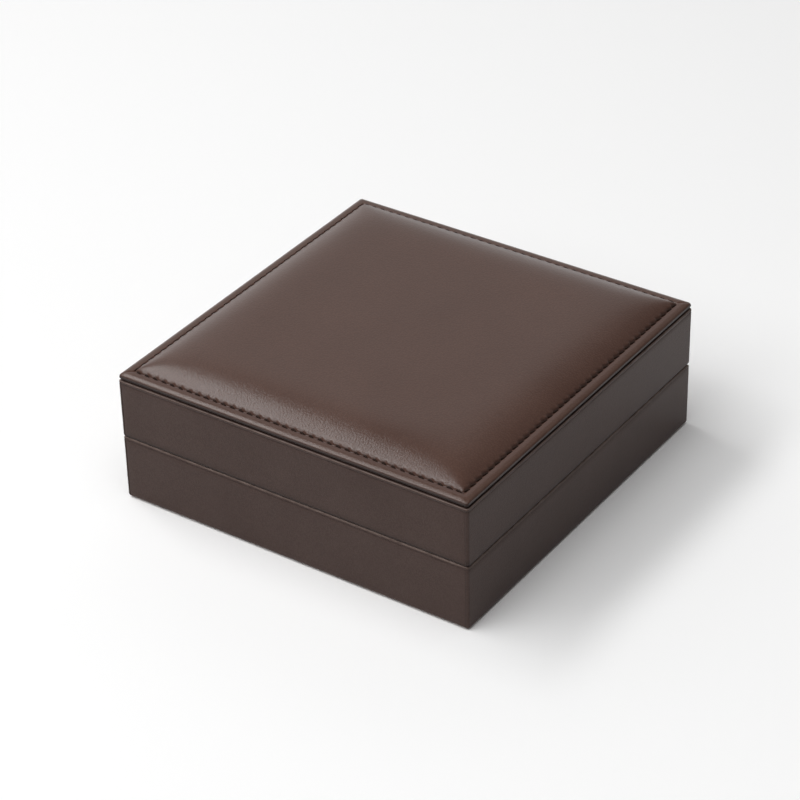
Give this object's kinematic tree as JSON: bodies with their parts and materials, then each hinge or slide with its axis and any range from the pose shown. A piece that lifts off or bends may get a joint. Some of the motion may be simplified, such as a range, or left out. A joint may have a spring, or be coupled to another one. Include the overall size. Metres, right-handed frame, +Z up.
{
  "type": "leather box",
  "caption": "Hinged box of two near-equal halves wrapped in smooth leather, with a crowned, padded lid panel that has a rolled edge and a single row of stitching.",
  "frame": {"origin": "middle of the underside, on the surface that the box stands on", "axes": "+Z up, +X to the box's right seen from its front, +Y to the back, where the hinges are"},
  "size_m": [0.19, 0.1944, 0.0746],
  "materials": {
    "brown_leather": "smooth, fine grain, semi-gloss finish",
    "stitching_thread": "waxed twisted thread",
    "underside_suede": "short-napped suede sheet",
    "foam": "open-cell foam",
    "grey_card": "uncoated grey board",
    "satin": "satin weave, soft gloss",
    "velvet": "short pile velvet",
    "fibreboard": "medium-density fibreboard, sanded",
    "plated_magnet": "nickel plate",
    "plated_steel": "plated, satin",
    "hinge_brass": "satin brass"
  },
  "bodies": {
    "base": {"base_leather": "brown_leather", "base_floor_board": "fibreboard", "underside_sheet": "underside_suede", "base_floor_card": "grey_card", "base_cushion": "velvet", "base_magnets": "plated_magnet", "base_hinge_screws": "plated_steel", "base_front_board": "fibreboard", "base_right_board": "fibreboard", "base_back_board": "fibreboard", "base_left_board": "fibreboard", "base_front_lining": "velvet", "base_right_lining": "velvet", "base_back_lining": "velvet", "base_left_lining": "velvet", "left_hinge_base_leaf": "hinge_brass", "right_hinge_base_leaf": "hinge_brass", "left_hinge_pin": "plated_steel", "right_hinge_pin": "plated_steel"},
    "lid": {"lid_leather": "brown_leather", "lid_top_board": "fibreboard", "lid_ceiling_card": "grey_card", "lid_ceiling_pad": "satin", "lid_magnets": "plated_magnet", "lid_hinge_screws": "plated_steel", "panel_leather": "brown_leather", "panel_board": "fibreboard", "panel_foam": "foam", "panel_packing_card": "grey_card", "panel_stitching": "stitching_thread", "lid_front_board": "fibreboard", "lid_right_board": "fibreboard", "lid_back_board": "fibreboard", "lid_left_board": "fibreboard", "lid_front_lining": "satin", "lid_right_lining": "satin", "lid_back_lining": "satin", "lid_left_lining": "satin", "left_hinge_lid_leaf": "hinge_brass", "right_hinge_lid_leaf": "hinge_brass"}
  },
  "joints": [
    {"name": "lid_hinge", "type": "hinge", "parent": "base", "child": "lid", "pos_m": [0, 0.09565, 0.03425], "axis": [-1, 0, 0], "range_deg": [0, 98]}
  ]
}
